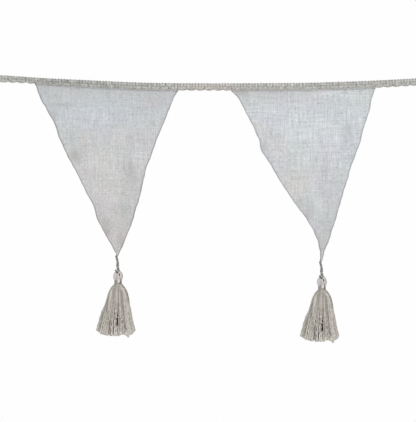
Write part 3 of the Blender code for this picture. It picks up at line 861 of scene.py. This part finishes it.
def ridges(rows, x, z):
    """The depth of a table of folds: soft ridges or troughs along short straight lines."""
    depth = np.zeros_like(x)
    for x_start, z_start, x_end, z_end, width, height in rows:
        run_x = (x_end - x_start) * MM
        run_z = (z_end - z_start) * MM
        from_x = x - x_start * MM
        from_z = z - z_start * MM
        share = np.clip((from_x * run_x + from_z * run_z) / (run_x ** 2 + run_z ** 2), 0, 1)
        away = np.hypot(from_x - run_x * share, from_z - run_z * share)
        depth += height * MM * hump(away, 0, width * MM)
    return depth


def cloth_depth(side, x, z):
    """Where the cloth lies from front to back, flat again near the braid and the tip."""
    tip = OUTLINES[side][-1][0] * MM
    hidden = trim_top(x) - trim_height(x)
    fade = smoothstep((hidden - z) / FOLD_FADE) * smoothstep((z - tip) / FOLD_FADE)
    return CLOTH_Y - ridges(FOLDS[side], x, z) * fade


def stain_and_shading_fields(side, x, z):
    """How warm and how dark the cloth is at each point, from its soft stains and its painted shade and
    light on the folds.
    """
    tip = OUTLINES[side][-1][0] * MM
    warm = np.interp(z / tip, TONE_SHARES, WARMTH[side])
    dark = np.interp(z / tip, TONE_SHARES, DIMNESS[side])
    # Real stains and painted shade and light on the folds, summed alike
    for x_mid, z_mid, wide, tall, hue, shade in STAINS_AND_PAINTED_SHADING[side]:
        share = hump(x, x_mid * MM, wide * MM) * hump(z, z_mid * MM, tall * MM)
        warm += hue * share
        dark += shade * share
    return np.clip(warm, -1, 1), dark


def top_edge_rise(side, across):
    """How far the braid's sag lifts the cloth's top edge off a straight line."""
    left, right = (edge * MM for edge in OUTLINES[side][0][1:])
    chord = trim_top(left) + (trim_top(right) - trim_top(left)) * across
    return trim_top(left + (right - left) * across) - chord


def pennant_edges(side):
    """Both slanting edges as places across and heights, uneven by a fraction of a millimetre."""
    rows = OUTLINES[side]
    chance = np.random.default_rng(5 if side == "left" else 6)
    tip = rows[-1][0] * MM
    down = np.linspace(0, 1, CLOTH_ROWS)
    edges = []
    for column in (1, 2):
        corner = float(trim_top(rows[0][column] * MM)) - TUCKED
        height = corner + (tip - corner) * down
        x = softened(rows, height / MM, column, 1.2) * MM
        wobble = np.interp(down, np.linspace(0, 1, 60), chance.uniform(-1, 1, 60) * EDGE_WOBBLE)
        wobble = np.convolve(np.pad(wobble, 2, "edge"), (0.1, 0.25, 0.3, 0.25, 0.1), "valid")
        below = trim_top(x) - trim_height(x) - height
        flare = FLARE * np.exp(-np.maximum(below, 0) / FLARE_REACH) * (-1 if column == 1 else 1)
        edges.append((x + flare + wobble * smoothstep(down * 12), height))
    (left, left_height), (right, right_height) = edges
    right = np.maximum(right, left + 1.0 * MM)
    return left, left_height, right, right_height


def make_pennant(side, material):
    """A thin sheet on the solid's folds, with turned hems along its two slanting edges."""
    left, left_height, right, right_height = pennant_edges(side)
    down = np.linspace(0, 1, CLOTH_ROWS)[:, None]
    width = right - left
    hem = np.minimum(HEM_WIDTH / width, HEM_SHARE)
    steps = [hem * share for share, _ in HEM_SECTION]
    steps += [hem + (1 - 2 * hem) * share for share in np.linspace(0, 1, CLOTH_COLUMNS)]
    steps += [1 - hem * share for share, _ in reversed(HEM_SECTION)]
    across = np.stack(steps, axis=1)
    thick = np.full(across.shape, LINEN_THICK)
    for column, (_, share) in enumerate(HEM_SECTION):
        thick[:, (column, -1 - column)] = HEM_THICK * share
    x = left[:, None] + width[:, None] * across
    chord = left_height[:, None] + (right_height - left_height)[:, None] * across
    z = chord + top_edge_rise(side, across) * (1 - down) ** 3
    middle = np.stack((x, cloth_depth(side, x, z), z), axis=-1)
    normal = np.cross(np.gradient(middle, axis=1), np.gradient(middle, axis=0))
    normal /= np.linalg.norm(normal, axis=2)[:, :, None]
    normal *= -np.sign(normal[:, :, 1:2])
    half = normal * thick[:, :, None] / 2
    front = middle + half
    back = middle - half
    warm, dark = stain_and_shading_fields(side, x, z)
    chance = np.random.default_rng(8)
    # Hems darkened along their length, partly as doubled cloth and partly as painted shade on the rolled
    # edge
    for columns, tones in zip(((0, 1, 2, 3), (-1, -2, -3, -4)), HEM_TONES[side]):
        hem_tone = np.interp(down[:, 0], np.linspace(0, 1, len(tones)), tones)
        patchy = np.interp(down[:, 0], np.linspace(0, 1, 40), chance.uniform(0.7, 1.3, 40))
        dark[:, columns] += (hem_tone * patchy)[:, None]
    yarns = Yarns()
    around = [np.concatenate((field, field[:, ::-1]), axis=1) for field in (dark, warm)]
    yarns.add_skin(np.concatenate((back, front[:, ::-1]), axis=1), *around, sheet=True)
    name = "linen_" + side
    piece = show(name, yarns.mesh(name), material, nodes=["pennant_" + side])
    return front


def make_stitches(side, front, material):
    """Running stitches down both hems."""
    chance = random.Random(17)
    yarns = Yarns()
    for column, inward in ((2, 1), (-3, -1)):
        line = front[:, column]
        gone = lengths_along(line)
        spot = STITCHES_FROM
        while spot < gone[-1] - 6 * MM:
            long = chance.uniform(1.2, 1.6) * MM
            path = at_lengths(line, gone, np.linspace(spot, spot + long, 5))
            path[:, 0] += inward * chance.uniform(0.0, 0.12) * MM
            path[:, 1] -= 0.16 * MM * np.sin(np.linspace(0, math.pi, 5))
            yarns.add(path, STITCH_RADIUS, 5, 0.6 + sway(chance, 0.2), -0.2)
            spot += long + chance.uniform(0.9, 1.2) * MM
    name = "stitches_" + side
    show(name, yarns.mesh(name), material)


def skirt_reach(drop, angle):
    """How far the skirt reaches at a drop, to its left, its right or between."""
    left = softened(SKIRT, drop, 1, 1.5)
    right = softened(SKIRT, drop, 2, 1.5)
    share = smoothstep((np.cos(angle) + 0.35) / 0.7)
    return (left + (right - left) * share) * MM


def skirt_depth(drop):
    """The skirt's share from front to back, round at the neck and flatter below."""
    return 1 - (1 - SKIRT_DEPTH) * smoothstep((drop - 2.9) / 10.0)


def part_yarns(path):
    """Opens the dark slits between the yarns at the front, each yarn to the side it mostly lies on."""
    drop = -path[:, 2] / MM
    front = smoothstep(-path[:, 1] / (1.5 * MM))
    for slit in SLITS:
        centre = between(slit, drop, 1) * MM
        width = between(slit, drop, 2) * MM
        away = path[:, 0] - centre
        side = 1.0 if (away * width).sum() > 0 else -1.0
        clear = away * side
        push = width * hump(np.maximum(clear, 0), 0, 2.2 * MM)
        push += np.minimum(np.maximum(-clear, 0), width)
        path[:, 0] += side * push * front
    return path


def skirt_yarn(angle, lock, share, end, chance, steps):
    """One yarn from under the binding to its end, smooth above, crinkled and drawn into a lock below."""
    drop = np.linspace(1.6, end, steps)
    loose = smoothstep((drop - SMOOTH_DROP) / 24)
    gather = 0.06 * smoothstep((drop - 6) / 12) + 0.07 * smoothstep((drop - 30) / 25)
    wave = chance.uniform(6.0, 9.5)
    phase = chance.uniform(0, TURN)
    other_phase = chance.uniform(0, TURN)
    kink = 0.30 * np.sin(TURN * drop / wave + phase)
    kink += 0.18 * np.sin(TURN * drop / (wave * 0.57) + other_phase)
    lift = 0.3 * np.sin(TURN * drop / (wave * 0.83) + other_phase)
    turned = angle + (lock - angle) * gather
    turned = turned + kink * loose * MM / np.maximum(skirt_reach(drop, angle) * share, 3 * MM)
    girth = YARN_RADIUS * (0.5 + 0.5 * smoothstep((drop - 3) / 16))
    reach = (skirt_reach(drop, turned) - girth) * share + lift * loose * MM * 0.6
    path = round_axis(turned, np.maximum(reach, 0.3 * MM), -drop * MM, skirt_depth(drop))
    return part_yarns(path), girth


def strand_tone(path):
    """How much lighter or darker the skirt is along a path, from its table of strands."""
    drop = -path[:, 2] / MM
    total = 0 * drop
    for top, start, low, end, reach, shift in STRANDS:
        share = (drop - top) / (low - top)
        near = hump(path[:, 0] / MM, start + (end - start) * share, reach)
        total += shift * near * smoothstep((share + 0.1) * 6) * smoothstep((1.1 - share) * 6)
    return total


def add_skirt(yarns):
    """Layers of yarns drawn into locks, with the tones of locks and strands, painted shade and light
    along their crinkles, and loose ends.
    """
    chance = random.Random(23)
    crimp_shading = random.Random(29)
    lock_tones = [sway(chance, 0.16) for _ in range(LOCKS)]
    lock_ends = [chance.gauss(0, 0.3) for _ in range(LOCKS)]
    for number, share, fine in YARN_LAYERS:
        lock_shift = 0.37 * number
        for count in range(number):
            angle = TURN * (count + 0.5 + sway(chance, 0.25)) / number - math.pi / 2
            place = int(((angle + math.pi / 2) / TURN * LOCKS + lock_shift) % LOCKS)
            lock = TURN * (place + 0.5 - lock_shift) / LOCKS - math.pi / 2
            lock += TURN * round((angle - lock) / TURN)
            across = float(skirt_reach(58.0, angle)) * math.cos(angle) * share / MM
            end = float(between(END_LINE, across, 1)) + lock_ends[place] + chance.gauss(0, 0.35)
            end -= 0.6 * (1 - share)
            steps = int(end / (0.85 if fine else 1.7))
            path, girth = skirt_yarn(angle, lock, share, end, chance, steps)
            drop = -path[:, 2] / MM
            crinkle = smoothstep((drop - 14) / 22)
            shoulder = smoothstep((7.5 - drop) / 3.5)
            own = sway(chance, 0.2) * (1 - 0.4 * crinkle)
            tone = 0.5 + lock_tones[place] + own + 0.16 * smoothstep((drop - 46) / 12)
            tone = tone + strand_tone(path) - 0.12 * smoothstep((30 - drop) / 12) - 0.1 * shoulder
            # Painted shade and light that change at random along the crinkled lower part of each yarn
            crimp_shade_places = np.linspace(0, end, int(end / CRIMP_SHADE_STEP))
            tone = tone + 0.24 * crinkle * np.interp(drop, crimp_shade_places, [sway(crimp_shading, 1) for _ in crimp_shade_places])
            hue = sway(chance, 0.4) + 0.3 * smoothstep((drop - 26) / 20) - 0.1
            hue = np.clip(hue + 1.2 * shoulder, -1, 1)
            turn = chance.uniform(0, TURN)
            if fine:
                lay = YARN_LAY * chance.uniform(0.85, 1.15)
                yarns.add(path, girth, 6, tone, hue, 0.08 + YARN_FLAT * crinkle, lay, turn)
            else:
                yarns.add(path, girth, 5, tone, hue, 0.15, YARN_LAY * 3, turn)
    path, girth = skirt_yarn(STRAY_ANGLE, STRAY_ANGLE + 0.02, 1.0, STRAY_END, chance, 70)
    yarns.add(path, girth * 1.3, 6, 0.6, -0.3, 0.15, YARN_LAY)
    add_loose_ends(yarns)
    add_fibres(yarns, chance)


def add_loose_ends(yarns):
    """Short broken yarns that lie on the skirt's front."""
    for route, girth, tone in LOOSE_ENDS:
        across, drop = np.array(route).T
        reach = skirt_reach(drop, across.mean() / 15 - math.pi / 2) / MM
        front = -np.sqrt(reach ** 2 - across ** 2) * skirt_depth(drop) - 0.5
        path = smooth_route(np.stack((across, front, -drop), axis=1) * MM, 14)
        yarns.add(path, girth * MM, 6, tone, 0.6, 0.25, YARN_LAY)


def add_fibres(yarns, chance):
    """Fine hairs that stand off the skirt."""
    for _ in range(FIBRES):
        angle = chance.uniform(0, TURN)
        top = chance.uniform(14, 54)
        drop = top + np.linspace(0, chance.uniform(2, 4.5), 6)
        out = np.sin(np.linspace(0, 2.2, 6)) * chance.uniform(0.2, 0.8) * MM
        drift = np.linspace(0, 1, 6) ** 2 * sway(chance, 0.12)
        fibre = round_axis(angle + drift, skirt_reach(drop, angle) + out, -drop * MM, skirt_depth(drop))
        yarns.add(fibre, FIBRE_RADIUS, 3, 1)


def add_crown(yarns):
    """Yarns folded over the cord, round a plain core, with room for the cord's two legs."""
    chance = random.Random(31)
    line = np.array(CROWN_LINE) * MM
    whole = smooth_route(np.array(HANGER_ROUTE) * MM, 120)
    leg = whole[whole[:, 2] > 9.8 * MM]
    angle = TURN * np.arange(CORE_SIDES) / CORE_SIDES
    core = []
    tones = []
    for radius, height in reversed(CORE_LINE):
        core.append(round_axis(angle, radius, height, 0.8 if height < -4 else 1.0) * MM)
        # Above 5 mm the core is painted dark, as the shade seen between the crown's yarns and through
        # its hole
        tones.append(-0.2 if height > 5 else 0.6)
    yarns.add_skin(np.array(core), np.array(tones)[:, None], 0.3)
    for count in range(CROWN_YARNS):
        around = TURN * (count + 0.5 + sway(chance, 0.1)) / CROWN_YARNS
        bulge = 1 + chance.uniform(-0.05, 0.04)
        turned = around + np.linspace(0, 1, len(line)) * chance.uniform(0.2, 0.3)
        points = round_axis(turned, line[:, 0] * bulge, line[:, 1] * chance.uniform(0.97, 1.02))
        path = smooth_route(points, CROWN_STEPS)
        gap = path[:, None, :] - leg[None, :, :]
        distance = np.linalg.norm(gap, axis=2)
        near = distance.argmin(axis=1)
        away = gap[np.arange(len(path)), near]
        away[:, 2] = 0
        away /= np.maximum(np.linalg.norm(away, axis=1), 1e-9)[:, None]
        path += away * np.maximum(CORD_CLEARANCE - distance.min(axis=1), 0)[:, None]
        share = np.linspace(0, 1, CROWN_STEPS)
        radius = np.interp(share, *CROWN_GIRTH) * MM
        hole = hump(path[:, 2], HOLE[1] * MM, HOLE_REACH) * (path[:, 1] < 0)
        beside = path[:, 0] - HOLE[0] * MM
        side = np.sign(beside[CROWN_STEPS // 3])
        path[:, 0] += side * HOLE_OPENING * hole * hump(beside, 0, HOLE_REACH)
        tone = 0.88 + chance.uniform(-0.14, 0.1)
        yarns.add(path, radius, 6, tone, -0.9, 0.12, YARN_LAY, chance.uniform(0, TURN))


def make_tassels(material):
    yarns = Yarns()
    add_crown(yarns)
    add_skirt(yarns)
    show_pair("yarns_", yarns.mesh("tassel_yarns"), material, "tassel_")


def make_hangers(material):
    """Two knobbly plies laid round each other along the route, with a short cut tail."""
    yarns = Yarns()
    path = smooth_route(np.array(HANGER_ROUTE) * MM, 200)
    gone = np.linspace(0, lengths_along(path)[-1], len(path))
    chance = random.Random(3)
    knobs = 1 + 0.12 * np.sin(TURN * gone / (2.3 * MM))
    tail = smoothstep((gone - gone[-1] + HANGER_TAIL) / (3 * MM))
    pale = hump(path[:, 2], 12.2 * MM, 1.2 * MM) * (1 - tail)
    tone = 0.55 + 0.12 * np.sin(TURN * gone / (5.1 * MM)) - 0.55 * tail + 0.6 * pale
    full = hump(path[:, 2], 17 * MM, 5.5 * MM) * (1 - tail)
    girth = 1 - 0.2 * tail + 0.2 * full
    offset = HANGER_OFFSET * girth[:, None]
    yarns.plied(path, HANGER_PLY * knobs * girth, offset, HANGER_LAY, 8, tone, -0.3, 0.3)
    for _ in range(HANGER_FUZZ):
        spot = path[chance.randrange(4, 140)]
        way = np.array([chance.gauss(0, 1) for _ in range(3)])
        way /= np.linalg.norm(way)
        out = np.linspace(0.9, 1.9, 5)[:, None] * MM
        bend = np.array((0, 0, -0.3 * MM)) * (np.linspace(0, 1, 5)[:, None] ** 2)
        yarns.add(spot + way * out + bend, 0.06 * MM, 3, 0.7)
    show_pair("cord_", yarns.mesh("hanger_cord"), material, "hanger_")


def on_neck(across, up, radius):
    """Points on the neck's round front, from places across it and up it in millimetres."""
    return round_axis(across / radius - math.pi / 2, radius, up) * MM


def make_bindings(material):
    """Thread wound round the neck in close turns, under a dark loop with a bright knot in it whose light
    tone is a painted highlight.
    """
    yarns = Yarns()
    angle = np.linspace(0, TURN * WRAP_TURNS, WRAP_TURNS * 32)
    height = np.linspace(1.75, -1.75, len(angle)) + 0.15 * np.sin(angle + 0.8)
    helix = round_axis(angle - 1.2, NECK_RADIUS + 0.15 * np.sin(angle * 0.37), height) * MM
    # The wound thread is painted lighter towards the neck's right and darker towards its left, as
    # shading round it
    yarns.add(helix, WRAP_RADIUS, 8, 0.41 + 0.12 * np.cos(angle - 1.2), 0.6, 0.12, 2.2 * MM)
    share = np.linspace(0, 1, len(KNOT_LOOP))
    fine = np.linspace(0, 1, 40)
    across, up, tone = (np.interp(fine, share, values) for values in zip(*KNOT_LOOP))
    loop = on_neck(np.convolve(np.pad(across, 2, "edge"), np.ones(5) / 5, "valid"), up, LOOP_LIES_AT)
    yarns.add(loop, LOOP_RADIUS, 8, tone, -0.4, 0.15, 2.1 * MM)
    share = np.linspace(0, 1, 14)
    arch = np.sin(math.pi * share)
    # The knot's light tone is a painted highlight on the neck's front
    for across, reach, radius, tone in KNOT_HIGHLIGHT_STRANDS:
        places = (across - 0.4 * (share - 0.5), 1.0 + reach * (1 - 2 * share))
        strand = on_neck(*places, STRANDS_LIE_AT)
        strand[:, 1] -= 0.45 * MM * arch
        yarns.add(strand, radius * MM * (0.75 + 0.25 * arch), 8, tone, -0.6, 0.1, 3.0 * MM)
    show_pair("wrap_", yarns.mesh("neck_binding"), material, "binding_")


def make_stage():
    """A pale floor below, a white surround and soft light from the front."""
    bpy.ops.mesh.primitive_circle_add(
        vertices=96, radius=FLOOR_RADIUS, fill_type="NGON", location=(0, 0, FLOOR_Z)
    )
    floor = bpy.context.object
    floor.name = "floor"
    nodes = Nodes(bpy.data.materials.new("floor"))
    nodes.fill(nodes.tree.nodes["Principled BSDF"], {"Base Color": FLOOR_COLOUR, "Roughness": 0.9})
    floor.data.materials.append(nodes.owner)
    around = Nodes(bpy.data.worlds.new("surround"))
    soft = around.fill(around.tree.nodes["Background"], {"Color": WHITE, "Strength": SURROUND_LIGHT})
    seen = around.node("ShaderNodeBackground", {"Color": WHITE, "Strength": SURROUND_SEEN})
    rays = around.node("ShaderNodeLightPath").outputs["Is Camera Ray"]
    mixed = around.mix_shaders(rays, soft.outputs[0], seen.outputs[0])
    around.fill(around.tree.nodes["World Output"], {"Surface": mixed})
    bpy.context.scene.world = around.owner
    for name, spot, size, power in LIGHTS:
        data = bpy.data.lights.new(name, "AREA")
        data.size = size
        data.energy = power
        towards = Vector((0, 0, MIDDLE_Z)) - Vector(spot)
        placed(name, data, spot).rotation_euler = towards.to_track_quat("-Z", "Y").to_euler()


def make_camera():
    """Straight on, from far enough for the photograph's flat view."""
    data = bpy.data.cameras.new("camera")
    data.sensor_width = SENSOR
    data.lens = SENSOR * CAMERA_DISTANCE / (PHOTO_TALL * PIXEL)
    data.clip_end = 20
    camera = placed("camera", data, (0, -CAMERA_DISTANCE, MIDDLE_Z))
    camera.rotation_euler = (math.pi / 2, 0, 0)
    bpy.context.scene.camera = camera


def main():
    bpy.context.scene.view_settings.view_transform = "Standard"
    make_camera()
    make_stage()
    make_trim(yarn_material("trim_braid", mottling=0.3))
    linen = linen_material()
    thread = yarn_material("hem_thread")
    for side in OUTLINES:
        front = make_pennant(side, linen)
        make_stitches(side, front, thread)
    make_tassels(yarn_material("tassel_yarn", mottling=0.15, cast=0.015, fuzz=0.1))
    make_hangers(yarn_material("hanger_cord"))
    make_bindings(yarn_material("binding_thread"))


main()
